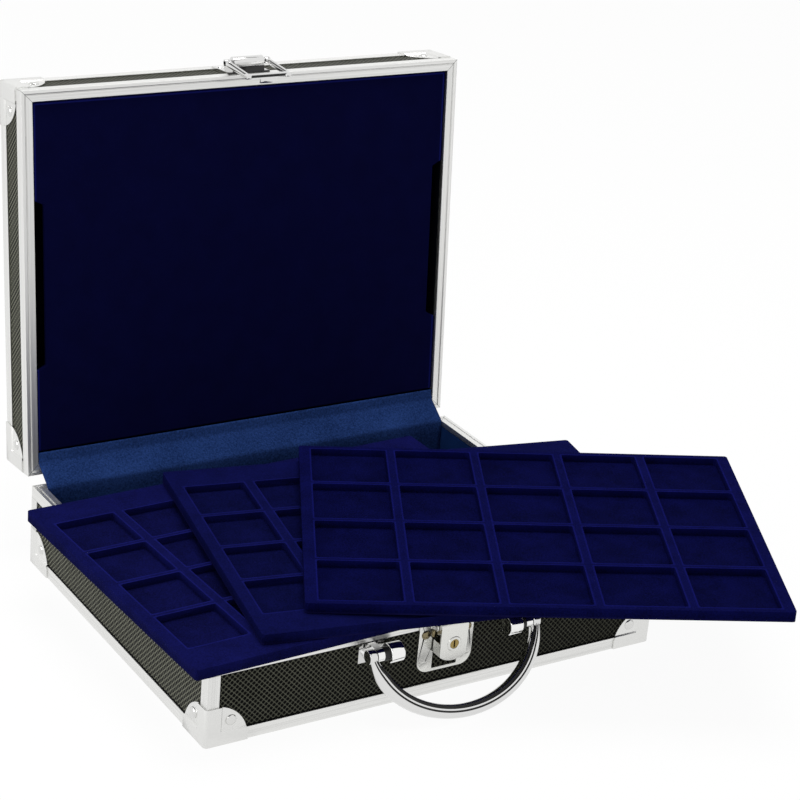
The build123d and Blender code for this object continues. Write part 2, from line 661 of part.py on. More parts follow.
def tray(cell, columns, rows):
    """The moulding and its board, centred, with the board's underside at zero."""
    end_w = (TRAY_W - 2 * END_BORDER - columns * cell) / (columns - 1)
    side_w = (TRAY_D - rows * cell - (rows - 1) * ROW_WALL) / 2
    body = slab(TRAY_W, TRAY_D, TRAY_BOARD, TRAY_T)
    body = fillet(body.edges().filter_by(Axis.Z), TRAY_ROUND)
    pocket = fillet(slab(cell, cell, TRAY_T - CELL_DEEP, TRAY_T + 1).edges().filter_by(Axis.Z), CELL_ROUND)
    places = []
    for column in range(columns):
        for row in range(rows):
            x = -TRAY_W / 2 + END_BORDER + cell / 2 + column * (cell + end_w)
            y = -TRAY_D / 2 + side_w + cell / 2 + row * (cell + ROW_WALL)
            places.append(Pos(x, y, 0) * pocket)
    body = body.cut(*places)
    board = fillet(slab(TRAY_W, TRAY_D, 0, TRAY_BOARD).edges().filter_by(Axis.Z), TRAY_ROUND)
    return body, board


level = TRAY_T + TRAY_GAP
base_z = BASE_H + TRAY_GAP
lean = math.radians(-UPPER_TILT)
upper_z = base_z + 2 * level + TRAY_W / 2 * math.sin(lean)
lower_place = Pos(LOWER_AT[0], LOWER_AT[1], base_z) * Rot(0, 0, LOWER_AT[2])
middle_place = Pos(MIDDLE_AT[0], MIDDLE_AT[1], base_z + level) * Rot(0, 0, MIDDLE_AT[2])
upper_place = Pos(UPPER_AT[0], UPPER_AT[1], upper_z) * Rot(0, 0, UPPER_AT[2]) * Rot(0, UPPER_TILT, 0)

small_body, small_board = tray(SMALL_CELL, SMALL_COLUMNS, SMALL_ROWS)
big_body, big_board = tray(BIG_CELL, BIG_COLUMNS, BIG_ROWS)
write("tray_lower_inlay", lower_place * small_body)
write("tray_lower_board", lower_place * small_board)
write("tray_middle_inlay", middle_place * small_body)
write("tray_middle_board", middle_place * small_board)
write("tray_upper_inlay", upper_place * big_body)
write("tray_upper_board", upper_place * big_board)
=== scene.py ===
"""Aluminium-framed coin case, open, with three flocked trays fanned over its rim.

All sizes are metres in the case's own frame: X to the right, Y to the rear, Z up, and the
origin under the middle of the base.
"""

from __future__ import annotations

import json
import logging
import math
from contextlib import contextmanager
from dataclasses import dataclass, field, replace
from enum import Enum
from typing import Any, Callable, Iterable, Iterator, Sequence

import bmesh
import bpy
from mathutils import Matrix, Vector

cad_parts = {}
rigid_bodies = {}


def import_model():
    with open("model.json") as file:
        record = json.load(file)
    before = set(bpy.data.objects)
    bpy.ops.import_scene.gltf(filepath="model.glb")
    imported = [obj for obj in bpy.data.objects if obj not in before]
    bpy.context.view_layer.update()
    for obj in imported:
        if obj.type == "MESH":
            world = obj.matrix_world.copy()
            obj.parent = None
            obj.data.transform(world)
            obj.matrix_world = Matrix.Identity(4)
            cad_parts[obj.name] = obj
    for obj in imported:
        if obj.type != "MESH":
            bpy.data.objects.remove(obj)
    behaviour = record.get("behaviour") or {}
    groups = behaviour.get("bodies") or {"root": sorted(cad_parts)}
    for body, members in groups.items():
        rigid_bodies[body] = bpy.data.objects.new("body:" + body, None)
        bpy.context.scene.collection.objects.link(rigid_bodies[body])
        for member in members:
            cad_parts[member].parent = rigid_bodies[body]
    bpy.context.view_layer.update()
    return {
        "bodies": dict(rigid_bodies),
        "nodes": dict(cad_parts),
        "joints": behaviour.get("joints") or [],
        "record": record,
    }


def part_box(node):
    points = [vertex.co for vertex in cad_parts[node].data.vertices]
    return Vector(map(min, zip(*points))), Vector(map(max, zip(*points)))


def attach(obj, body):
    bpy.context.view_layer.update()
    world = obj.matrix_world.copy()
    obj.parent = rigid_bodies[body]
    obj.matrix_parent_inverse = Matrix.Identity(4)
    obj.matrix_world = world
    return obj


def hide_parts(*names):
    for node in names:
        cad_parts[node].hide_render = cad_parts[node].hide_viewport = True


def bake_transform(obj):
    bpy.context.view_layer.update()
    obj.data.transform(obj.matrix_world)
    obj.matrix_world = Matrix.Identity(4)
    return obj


logging.basicConfig(level=logging.INFO, format="%(levelname)s %(message)s")
LOG = logging.getLogger("coin_case")

MM = 0.001
CASE_W = 320 * MM
CASE_D = 254 * MM
BASE_H = 54.5 * MM
LID_H = 34 * MM
# a profile's 8 mm leg with the gap beside it: from there on a wall's board is seen, and up to
# there the board is painted dark as painted shadow
COVERED = 8.9 * MM
OPEN = math.radians(94.6)
HINGE = Vector((0.0, 0.1319, 0.0532))
# the lid's shell is made standing on its closed side, like the base's, then turned over
# onto the rim and swung open about the hinge pins
OPEN_LID = Matrix.Translation(HINGE) @ Matrix.Rotation(-OPEN, 4, "X") @ Matrix.Translation(-HINGE)
TURN_OVER = Matrix.Translation((0, 0, BASE_H + LID_H)) @ Matrix.Rotation(math.pi, 4, "X")
# carries a front wall's half of a corner over to the side wall
SWAP = Matrix(((0, 1, 0, 0), (1, 0, 0, 0), (0, 0, 1, 0), (0, 0, 0, 1)))
# lays what is made upright along X
ALONG_X = (0, math.pi / 2, 0)
# the numbers of a mix node's vector inputs and of its colour inputs
A_VECTOR, B_VECTOR, A_COLOUR, B_COLOUR = 4, 5, 6, 7

Node = bpy.types.Node
Tree = bpy.types.NodeTree
Piece = bpy.types.Object


def linear(colour: str) -> tuple[float, float, float, float]:
    """Turns an sRGB hex colour to linear.

    Args:
        colour: six hex digits after a hash.

    Returns:
        Red, green, blue and an alpha of one.
    """
    raw = [int(colour[i : i + 2], 16) / 255 for i in (1, 3, 5)]
    out = [c / 12.92 if c <= 0.04045 else ((c + 0.055) / 1.055) ** 2.4 for c in raw]
    return (out[0], out[1], out[2], 1.0)


def feed(node: Node, inputs: dict[Any, Any]) -> None:
    """Gives a node's inputs their values, and links what feeds them.

    Args:
        node: the node.
        inputs: input name or number, and a value, a socket, or a node, which stands for
            its first output in use.
    """
    for key, value in inputs.items():
        if isinstance(value, Node):
            value = next(output for output in value.outputs if output.enabled)
        if isinstance(value, bpy.types.NodeSocket):
            node.id_data.links.new(value, node.inputs[key])
        else:
            node.inputs[key].default_value = value


def add(tree: Tree, kind: str, inputs: Any = (), **settings: Any) -> Node:
    """Adds a node with its settings and its inputs.

    Args:
        tree: the material's node tree.
        kind: the node's type, after the ShaderNode that each of them starts with, or a
            Math node's operation, in capitals.
        inputs: what feeds it, by name or number, or as a list in the node's own order.
        settings: the node's own properties.

    Returns:
        The node.
    """
    if kind.isupper():
        kind, settings = "Math", {"operation": kind}
    node = tree.nodes.new("ShaderNode" + kind)
    for name, value in settings.items():
        setattr(node, name, value)
    feed(node, inputs if isinstance(inputs, dict) else dict(enumerate(inputs)))
    return node


class Place(Enum):
    """Whether a surface belongs to the base or to the lid, which is drawn open."""

    BASE = "base"
    LID = "lid"


def shell_coordinates(tree: Tree, place: Place) -> Any:
    """Object coordinates, turned back to the closed lid's frame on the lid.

    Args:
        tree: the material's node tree.
        place: the shell that the surface is on.

    Returns:
        The socket or node that gives them, in metres.
    """
    where = add(tree, "TexCoord").outputs["Object"]
    if place is Place.BASE:
        return where
    shifted = add(tree, "VectorMath", [where, tuple(HINGE)], operation="SUBTRACT")
    turned = add(tree, "Mapping", {"Vector": shifted, "Rotation": (OPEN, 0.0, 0.0)})
    return add(tree, "VectorMath", [turned, tuple(HINGE)], operation="ADD")


@dataclass(frozen=True)
class Finish:
    """What every finish shares: a name, a colour and a way to make its material."""

    name: str
    colour: str
    roughness: float = 0.5
    metallic: float = 0.0

    def pattern(self, tree: Tree) -> dict[str, Any]:
        """What the pattern feeds to the shader: nothing, where the finish is plain."""
        return {}

    def make(self) -> bpy.types.Material:
        """Makes the material: its plain values first, then its pattern.

        Returns:
            The material.
        """
        material = bpy.data.materials.new(self.name)
        material.use_nodes = True
        material.diffuse_color = linear(self.colour)
        shader = material.node_tree.nodes["Principled BSDF"]
        feed(shader, {"Base Color": linear(self.colour)})
        feed(shader, {"Roughness": self.roughness, "Metallic": self.metallic})
        feed(shader, self.pattern(material.node_tree))
        return material


@dataclass(frozen=True)
class AnodisedAluminium(Finish):
    """Extruded profile, satin anodised: pale grey with fine draw lines along each bar."""

    place: Place = Place.BASE
    upright: bool = False
    # draw lines about 0.5 mm apart, coarser than real so that they show, and 170 mm long
    across: float = 1.9 / MM
    along: float = 0.006 / MM
    line_depth: float = 0.03 * MM
    # how light the lines are at their darkest and palest, and a mitre's width and darkness
    tones: tuple[float, float] = (0.86, 1.06)
    seam: float = 0.22 * MM
    seam_dark: float = 0.6

    def pattern(self, tree: Tree) -> dict[str, Any]:
        """Draws the lines along each bar, and the mitres as thin dark seams.

        Args:
            tree: the material's node tree.

        Returns:
            What feeds the shader.
        """
        where = shell_coordinates(tree, self.place)
        bars = []
        for axis in range(3):
            scale = [self.across] * 3
            scale[axis] = self.along
            bars.append(add(tree, "VectorMath", [where, scale], operation="MULTIPLY"))
        lines = bars[2]
        if not self.upright:
            xyz = add(tree, "SeparateXYZ", [where]).outputs
            # the mitre runs at 45 degrees through each corner of the frame
            offs = [add(tree, "ABSOLUTE", [xyz[axis]]) for axis in (0, 1)]
            skew = add(tree, "SUBTRACT", offs)
            mitre = add(tree, "SUBTRACT", [skew, (CASE_W - CASE_D) / 2])
            on_side = add(tree, "GREATER_THAN", [mitre, 0.0])
            ways = {0: on_side, A_VECTOR: bars[0], B_VECTOR: bars[1]}
            lines = add(tree, "Mix", ways, data_type="VECTOR")
        grain = add(tree, "TexNoise", {"Vector": lines, "Scale": 1.0, "Detail": 3.0})
        tone = add(tree, "MapRange", [grain, 0.3, 0.7, *self.tones])
        if not self.upright:
            off = add(tree, "ABSOLUTE", [mitre])
            seam = add(tree, "LESS_THAN", [off, self.seam])
            darker = add(tree, "MULTIPLY", [seam, self.seam_dark])
            tone = add(tree, "MULTIPLY", [tone, add(tree, "SUBTRACT", [1.0, darker])])
        shades = {0: 1.0, A_COLOUR: linear(self.colour), B_COLOUR: tone}
        rough = [grain, 0.0, 1.0, self.roughness - 0.08, self.roughness + 0.1]
        return {
            "Base Color": add(tree, "Mix", shades, data_type="RGBA", blend_type="MULTIPLY"),
            "Roughness": add(tree, "MapRange", rough),
            "Normal": add(tree, "Bump", {"Height": grain, "Distance": self.line_depth}),
        }


class Wall(Enum):
    """Which way a panel faces, given by the two axes that its pattern runs over."""

    FRONT = (0, 2)
    SIDE = (1, 2)
    LEVEL = (0, 1)


@dataclass(frozen=True)
class DiamondPanel(Finish):
    """Board covered with embossed ABS: black diamonds on a dark olive-grey ground."""

    place: Place = Place.BASE
    wall: Wall = Wall.FRONT
    pitch: float = 3.6 * MM
    ridge: float = 0.25 * MM
    # how deep in its wave a diamond's dark face starts, and where it is all dark
    face: tuple[float, float] = (0.25, 0.95)
    wear_scale: float = 0.06 / MM
    ground: str = "#5c5d52"
    worn: str = "#4a4b41"

    def pattern(self, tree: Tree) -> dict[str, Any]:
        """Draws the diamonds, the worn ground, and painted shadow in the gaps beside the
        profiles.

        Args:
            tree: the material's node tree.

        Returns:
            What feeds the shader.
        """
        where = shell_coordinates(tree, self.place)
        xyz = add(tree, "SeparateXYZ", [where]).outputs
        waves = []
        for axis in self.wall.value:
            turns = add(tree, "MULTIPLY", [xyz[axis], 2 * math.pi / self.pitch])
            waves.append(add(tree, "COSINE", [turns]))
        # diamonds are 3.6 mm from corner to corner, with narrow ridges left between them
        depth = add(tree, "ABSOLUTE", [add(tree, "ADD", waves)])
        dark = add(tree, "MapRange", [depth, *self.face], interpolation_type="SMOOTHSTEP")
        # the board lies 1 mm behind the profiles, so painted shadow darkens a strip along each of
        # them
        across = self.wall.value[0]
        half = (CASE_W, CASE_D)[across] / 2
        off = add(tree, "ABSOLUTE", [xyz[across]])
        shadow_gaps = [add(tree, "GREATER_THAN", [off, half - COVERED])]
        if self.wall is not Wall.LEVEL:
            from_rim = add(tree, "SUBTRACT", [xyz[2], BASE_H])
            off_rim = add(tree, "ABSOLUTE", [from_rim])
            for height in (xyz[2], off_rim):
                shadow_gaps.append(add(tree, "LESS_THAN", [height, COVERED]))
        for shadow_gap in shadow_gaps:
            dark = add(tree, "MAXIMUM", [dark, shadow_gap])
        wear = add(tree, "TexNoise", {"Vector": where, "Scale": self.wear_scale})
        shades = {0: wear, A_COLOUR: linear(self.ground), B_COLOUR: linear(self.worn)}
        ground = add(tree, "Mix", shades, data_type="RGBA")
        shades = {0: dark, A_COLOUR: ground, B_COLOUR: linear(self.colour)}
        high = add(tree, "SUBTRACT", [1.0, dark])
        return {
            "Base Color": add(tree, "Mix", shades, data_type="RGBA"),
            "Specular IOR Level": 0.03,
            "Normal": add(tree, "Bump", {"Height": high, "Distance": self.ridge}),
        }


@dataclass(frozen=True)
class Flock(Finish):
    """Short nylon fibre blown onto a glued surface: deep blue with a soft, uneven nap."""

    edge: str = "#14145c"
    sheen: float = 0.06
    fibre: float = 0.5 * MM
    mottle: float = 16 * MM
    speckle: float = 0.3
    nap_share: float = 0.65
    # the noise's values between which the nap goes from its own colour to its lightest
    contrast: tuple[float, float] = (0.38, 0.62)
    nap_depth: float = 0.2 * MM

    def painted_lift(self, tree: Tree) -> Any:
        """How much painted light lightens the nap at a spot, apart from its unevenness: none
        here.
        """
        return 0.0

    def pattern(self, tree: Tree) -> dict[str, Any]:
        """Draws the nap's fibre and its patches, lightened where the finish paints light.

        Args:
            tree: the material's node tree.

        Returns:
            What feeds the shader.
        """
        where = add(tree, "TexCoord").outputs["Object"]
        fibre = {"Vector": where, "Scale": 1 / self.fibre, "Detail": 4.0, "Roughness": 0.6}
        nap = add(tree, "TexNoise", fibre)
        patches = {"Vector": where, "Scale": 1 / self.mottle, "Detail": 3.0}
        patch = add(tree, "TexNoise", patches)
        fine = add(tree, "MULTIPLY", [nap, self.nap_share])
        mixed = add(tree, "MULTIPLY_ADD", [patch, 1 - self.nap_share, fine])
        uneven = add(tree, "MapRange", [mixed, *self.contrast, 0.0, self.speckle])
        # the nap's random unevenness, plus the finish's painted light
        tone = add(tree, "ADD", [uneven, self.painted_lift(tree)])
        shades = {0: tone, A_COLOUR: linear(self.colour), B_COLOUR: linear(self.edge)}
        return {
            "Base Color": add(tree, "Mix", shades, data_type="RGBA", clamp_factor=False),
            "Sheen Weight": self.sheen,
            "Sheen Roughness": 0.5,
            "Sheen Tint": linear(self.edge),
            "Specular IOR Level": 0.02,
            "Normal": add(tree, "Bump", {"Height": nap, "Distance": self.nap_depth}),
        }


@dataclass(frozen=True)
class TrayFlock(Flock):
    """Flock on a moulded tray, painted lighter on its walls' tops and most on cell edges, as
    painted light and painted highlights.
    """

    spot: tuple[float, float, float] = (0.0, 0.0, 0.0)
    turn: float = 0.0
    tilt: float = 0.0
    cell: float = 50 * MM
    columns: int = 5
    rows: int = 4
    size: tuple[float, float] = (291.6 * MM, 221 * MM)
    border: float = 8 * MM
    row_wall: float = 4 * MM
    # the painted highlight line's place outside a cell's edge, its half width, and how far its
    # ends and the outermost lines reach
    line: float = 0.5 * MM
    line_half: float = 0.9 * MM
    line_end: float = 0.8 * MM
    outermost: float = 1.2 * MM
    # the heights between which painted light makes the nap lighter, and the shares of its two
    # kinds
    heights: tuple[float, float] = (2.2 * MM, 6.2 * MM)
    on_line: float = 0.62
    on_wall: float = 0.18

    def painted_lift(self, tree: Tree) -> Node:
        """Painted light: lighter towards the top of the walls, and a painted highlight along each
        cell's rim.

        Args:
            tree: the material's node tree.

        Returns:
            The node that gives it.
        """
        turned = (0.0, math.radians(self.tilt), math.radians(self.turn))
        where = add(tree, "TexCoord").outputs["Object"]
        local = add(tree, "Mapping", [where, self.spot, turned], vector_type="TEXTURE")
        xyz = add(tree, "SeparateXYZ", [local]).outputs
        width, depth = self.size
        column_wall = (width - 2 * self.border - self.columns * self.cell) / (self.columns - 1)
        side = (depth - self.rows * self.cell - (self.rows - 1) * self.row_wall) / 2
        starts = (-width / 2 + self.border, -depth / 2 + side)
        near, inside = [], []
        for along, start, wall in zip(xyz, starts, (column_wall, self.row_wall)):
            from_start = add(tree, "SUBTRACT", [along, start])
            # every cell is brought to the first one, with half a wall on each side of it
            span = [from_start, self.cell + wall / 2, -wall / 2]
            centred = add(tree, "SUBTRACT", [add(tree, "WRAP", span), self.cell / 2])
            off = add(tree, "ABSOLUTE", [centred])
            past = add(tree, "SUBTRACT", [off, self.cell / 2 + self.line])
            far = add(tree, "ABSOLUTE", [past])
            edge = add(tree, "MapRange", [far, 0.0, self.line_half, 1.0, 0.0])
            held = add(tree, "LESS_THAN", [off, self.cell / 2 + self.line_end])
            out = add(tree, "ABSOLUTE", [along])
            grid = add(tree, "LESS_THAN", [out, self.outermost - start])
            near.append(add(tree, "MULTIPLY", [edge, grid]))
            inside.append(add(tree, "MULTIPLY", [held, grid]))
        column_rims = add(tree, "MULTIPLY", [near[0], inside[1]])
        row_rims = add(tree, "MULTIPLY", [near[1], inside[0]])
        rims = add(tree, "MAXIMUM", [column_rims, row_rims])
        top = add(tree, "MULTIPLY_ADD", [rims, self.on_line, self.on_wall])
        high = add(tree, "MapRange", [xyz[2], *self.heights])
        return add(tree, "MULTIPLY", [high, top])


@dataclass(frozen=True)
class InsertVelvet(Flock):
    """Velvet drawn over the lid's insert panel, with painted sheen in mid blue along its edges.
    """

    half: float = 152.2 * MM
    front: float = -119.2 * MM
    # the painted sheen line's place inside the edge, its half width and its strength
    hem: float = 1.6 * MM
    hem_half: float = 0.8 * MM
    nap_highlight: float = 3.0

    def painted_lift(self, tree: Tree) -> Node:
        """Painted sheen along both sides and along the latch side.

        Args:
            tree: the material's node tree.

        Returns:
            The node that gives it.
        """
        xyz = add(tree, "SeparateXYZ", [shell_coordinates(tree, Place.LID)]).outputs
        off = add(tree, "ABSOLUTE", [xyz[0]])
        in_side = add(tree, "SUBTRACT", [self.half, off])
        in_front = add(tree, "SUBTRACT", [xyz[1], self.front])
        edge = add(tree, "MINIMUM", [in_side, in_front])
        past = add(tree, "SUBTRACT", [edge, self.hem])
        far = add(tree, "ABSOLUTE", [past])
        return add(tree, "MapRange", [far, 0.0, self.hem_half, self.nap_highlight, 0.0])


@dataclass(frozen=True)
class PolishedMetal(Finish):
    """Plated or polished metal, with faint hairlines that break up its reflections."""

    hairline: float = 0.3 * MM
    spread: float = 0.06
    scratch: float = 0.004 * MM

    def pattern(self, tree: Tree) -> dict[str, Any]:
        """Draws the hairlines.

        Args:
            tree: the material's node tree.

        Returns:
            What feeds the shader.
        """
        where = add(tree, "TexCoord").outputs["Object"]
        marks = add(tree, "TexNoise", {"Vector": where, "Scale": 1 / self.hairline})
        rough = [marks, 0.0, 1.0, self.roughness, self.roughness + self.spread]
        return {
            "Roughness": add(tree, "MapRange", rough),
            "Normal": add(tree, "Bump", {"Height": marks, "Distance": self.scratch}),
        }


@dataclass(frozen=True)
class KnuckleChrome(PolishedMetal):
    """Chrome plating with painted shadow: dull black in the pressing's hollow, under the knuckle.
    """

    # the painted shadow's black, the height below which it lies, and the depth in front of which
    # the knuckle stays chrome
    shadow_black: str = "#080808"
    hollow: float = 61.0 * MM
    proud: float = -131.6 * MM

    def pattern(self, tree: Tree) -> dict[str, Any]:
        """Draws the hairlines, and paints the hollow's shadow black and not metallic.

        Args:
            tree: the material's node tree.

        Returns:
            What feeds the shader.
        """
        xyz = add(tree, "SeparateXYZ", [shell_coordinates(tree, Place.LID)]).outputs
        above = add(tree, "GREATER_THAN", [xyz[2], self.hollow])
        knuckle = add(tree, "LESS_THAN", [xyz[1], self.proud])
        # painted shadow under the knuckle: black and not metallic where neither test holds
        unshadowed = add(tree, "MAXIMUM", [above, knuckle])
        shades = {0: unshadowed, A_COLOUR: linear(self.shadow_black), B_COLOUR: linear(self.colour)}
        colour = add(tree, "Mix", shades, data_type="RGBA")
        return super().pattern(tree) | {"Base Color": colour, "Metallic": unshadowed}


@dataclass(frozen=True)
class SawnPine(Finish):
    """Sawn pine: straw-coloured, with darker grain lines about 2 mm apart along the bar."""

    grain: float = 2 * MM
    # the battens stand upright with the lid, so the grain is drawn out along Z
    drawn: tuple[float, float, float] = (1.0, 1.0, 0.06)
    late: str = "#8a6436"
    grain_depth: float = 0.1 * MM

    def pattern(self, tree: Tree) -> dict[str, Any]:
        """Draws the grain.

        Args:
            tree: the material's node tree.

        Returns:
            What feeds the shader.
        """
        where = add(tree, "TexCoord").outputs["Object"]
        drawn = add(tree, "Mapping", {"Vector": where, "Scale": self.drawn})
        noise = {"Vector": drawn, "Scale": 1 / self.grain, "Detail": 4.0}
        lines = add(tree, "TexNoise", noise)
        shades = {0: lines, A_COLOUR: linear(self.colour), B_COLOUR: linear(self.late)}
        return {
            "Base Color": add(tree, "Mix", shades, data_type="RGBA"),
            "Normal": add(tree, "Bump", {"Height": lines, "Distance": self.grain_depth}),
        }


ALUMINIUM = "#e6e6e4"
# near mirrors, in which the white room is broken by dark lines
CHROME = PolishedMetal("chrome_plated_zinc", "#efefee", 0.05, 1.0)
LATCH_CHROME = KnuckleChrome("chrome_plated_latch", "#dededd", 0.07, 1.0)
HANDLE_CHROME = PolishedMetal("chrome_plated_handle", "#dadad9", 0.06, 1.0)
# softer metals, whose reflections are blurred to pale and grey patches
SATIN_CHROME = PolishedMetal("satin_chrome_zinc", "#dededa", 0.24, 1.0)
NICKEL = PolishedMetal("nickel_plated_steel", "#e1e1df", 0.3, 1.0)
RIVET = PolishedMetal("nickel_plated_rivet", "#d8d8d6", 0.14, 1.0)
PIN_STEEL = PolishedMetal("bright_steel_pin", "#c9c9c9", 0.25, 1.0)
# brass: brownish where it has aged on the rivets, and yellower on the key plug
AGED_BRASS = PolishedMetal("aged_brass_rivet", "#7f755a", 0.16, 1.0)
BRASS = PolishedMetal("brass_key_plug", "#998552", 0.2, 1.0)
# painted shade and painted dark reflection: black in grooves and hollows, which reads as a dark
# line in the chrome
RECESS_SHADE = PolishedMetal("recess_painted_shade", "#050505", 0.5, 0.0)
# blues: the trays' dull card, the base's brighter felt, the lid's nearly black velvet, and the
# lid's lining felt, painted nearly black as painted shade
TRAY_CARD = Flock("tray_card", "#0a0a30", 0.9, edge="#181850", sheen=0.03)
LINING_FELT = Flock("lining_felt", "#10264e", 1.0, edge="#1d3c78")
INSERT_VELVET = InsertVelvet("insert_velvet", "#06072a", 1.0, edge="#0b0e40", sheen=0.05)
SHADED_LINING_FELT = Flock("lining_felt_painted_shade", "#04050c", 1.0, edge="#080a18", sheen=0.0)
# felt fibres are finer than 0.1 mm; their clumps are drawn 1.2 mm apart so that they show
HINGE_FELT = Flock(
    "hinge_felt",
    "#13244b",
    1.0,
    edge="#335398",
    sheen=0.1,
    fibre=1.2 * MM,
    mottle=50 * MM,
    speckle=0.42,
)
BATTEN_WOOD = SawnPine("pine_batten", "#b08a58", 0.7)


def deselect() -> None:
    """Leaves nothing selected, so that an operator acts only on what follows."""
    if bpy.context.object and bpy.context.object.mode != "OBJECT":
        bpy.ops.object.mode_set(mode="OBJECT")
    bpy.ops.object.select_all(action="DESELECT")


def activate(piece: Piece) -> None:
    """Makes one piece the active one, and the only one selected.

    Args:
        piece: the object.
    """
    deselect()
    piece.select_set(True)
    bpy.context.view_layer.objects.active = piece


def settle(scale: tuple[float, float, float] = (1, 1, 1)) -> Piece:
    """Scales the new primitive and moves its place into its mesh.

    Args:
        scale: its size along each of its own axes.

    Returns:
        The primitive, with its object at the origin.
    """
    piece = bpy.context.object
    piece.scale = scale
    activate(piece)
    bpy.ops.object.transform_apply(location=True, rotation=True, scale=True)
    return piece


@contextmanager
def editing(piece: Piece) -> Iterator[None]:
    """Edit mode on a piece, with all of it selected.

    Args:
        piece: the object to edit.

    Yields:
        Nothing, while the mode lasts.
    """
    bpy.context.view_layer.objects.active = piece
    bpy.ops.object.mode_set(mode="EDIT")
    bpy.ops.mesh.select_all(action="SELECT")
    yield
    bpy.ops.object.mode_set(mode="OBJECT")


def select(piece: Piece, kind: str, test: Callable[[Vector, Vector], bool]) -> None:
    """Selects, in edit mode, the corners or the faces that pass a test.

    Args:
        piece: the object in edit mode.
        kind: VERT or FACE.
        test: takes a corner's place or a face's middle, and the normal there.
    """
    bpy.ops.mesh.select_mode(type=kind)
    bpy.ops.mesh.select_all(action="DESELECT")
    mesh = bmesh.from_edit_mesh(piece.data)
    if kind == "VERT":
        for corner in mesh.verts:
            corner.select_set(test(corner.co, corner.normal))
        mesh.select_flush(True)
    else:
        for face in mesh.faces:
            face.select_set(test(face.calc_center_median(), face.normal))
    bmesh.update_edit_mesh(piece.data)


def cut(place: Iterable[float], normal: Iterable[float], **settings: bool) -> None:
    """Cuts the whole mesh in edit mode with a plane."""
    bpy.ops.mesh.select_all(action="SELECT")
    bpy.ops.mesh.bisect(plane_co=tuple(place), plane_no=tuple(normal), **settings)


def apply(piece: Piece, kind: str, **settings: Any) -> None:
    """Adds a modifier to a piece and applies it.

    Args:
        piece: the object.
        kind: the modifier's type.
        settings: the modifier's own properties.
    """
    bpy.context.view_layer.objects.active = piece
    modifier = piece.modifiers.new(kind.lower(), kind)
    for name, value in settings.items():
        setattr(modifier, name, value)
    bpy.ops.object.modifier_apply(modifier=modifier.name)


def dress(piece: Piece, material: bpy.types.Material) -> None:
    """Gives the whole piece one material."""
    piece.data.materials.clear()
    piece.data.materials.append(material)


def soften(piece: Piece, width: float, segments: int = 2) -> None:
    """Rounds the sharp edges of a carried-over node by modifiers alone.

    Args:
        piece: the node's object.
        width: the rounding's width in metres.
        segments: facets across the rounding.
    """
    weld = piece.modifiers.new("weld", "WELD")
    weld.merge_threshold = 1e-5
    bevel = piece.modifiers.new("rounding", "BEVEL")
    bevel.width = width
    bevel.segments = segments
    bevel.limit_method = "ANGLE"
    bevel.angle_limit = math.radians(40.0)


def smooth(piece: Piece, degrees: float = 35.0) -> None:
    """Shades a piece smooth, apart from edges sharper than an angle."""
    activate(piece)
    bpy.ops.object.shade_smooth_by_angle(angle=math.radians(degrees))


def copy_at(piece: Piece, place: Matrix) -> Piece:
    """Copies a piece with its mesh, and turns the faces outwards if it is mirrored.

    Args:
        piece: the object to copy.
        place: the matrix that moves the copy.

    Returns:
        The copy.
    """
    copy = piece.copy()
    copy.data = piece.data.copy()
    bpy.context.scene.collection.objects.link(copy)
    copy.data.transform(place)
    if place.determinant() < 0:
        copy.data.flip_normals()
    return copy


def join(parts: list[Piece], name: str) -> Piece:
    """Joins parts into the first of them, under a new name.

    Args:
        parts: the objects to join.
        name: the joined piece's name.

    Returns:
        The joined piece.
    """
    activate(parts[0])
    for part in parts:
        part.select_set(True)
    bpy.ops.object.join()
    parts[0].name = name
    return parts[0]


def rod(radius: float, length: float, place: Iterable[float], facets: int) -> Piece:
    """Models a round bar along X.

    Args:
        radius: its radius.
        length: its length.
        place: its middle.
        facets: flat faces round it.

    Returns:
        The bar.
    """
    deselect()
    bpy.ops.mesh.primitive_cylinder_add(
        vertices=facets, radius=radius, depth=length, location=tuple(place), rotation=ALONG_X
    )
    return settle()


def rivet_head(radius: float, rise: float, rings: int) -> Piece:
    """Models a rivet's head on the XZ plane at the origin, domed to the front.

    Args:
        radius: the head's radius.
        rise: how much of a half ball's height it keeps.
        rings: rings of the ball that it is cut from.

    Returns:
        The head.
    """
    deselect()
    bpy.ops.mesh.primitive_uv_sphere_add(
        segments=28, ring_count=rings, radius=radius, rotation=(math.pi / 2, 0, 0)
    )
    head = settle()
    with editing(head):
        cut((0, 0, 0), (0, 1, 0), clear_outer=True, use_fill=True)
        bpy.ops.mesh.select_all(action="SELECT")
        bpy.ops.transform.resize(value=(1, rise, 1), center_override=(0, 0, 0))
    return head


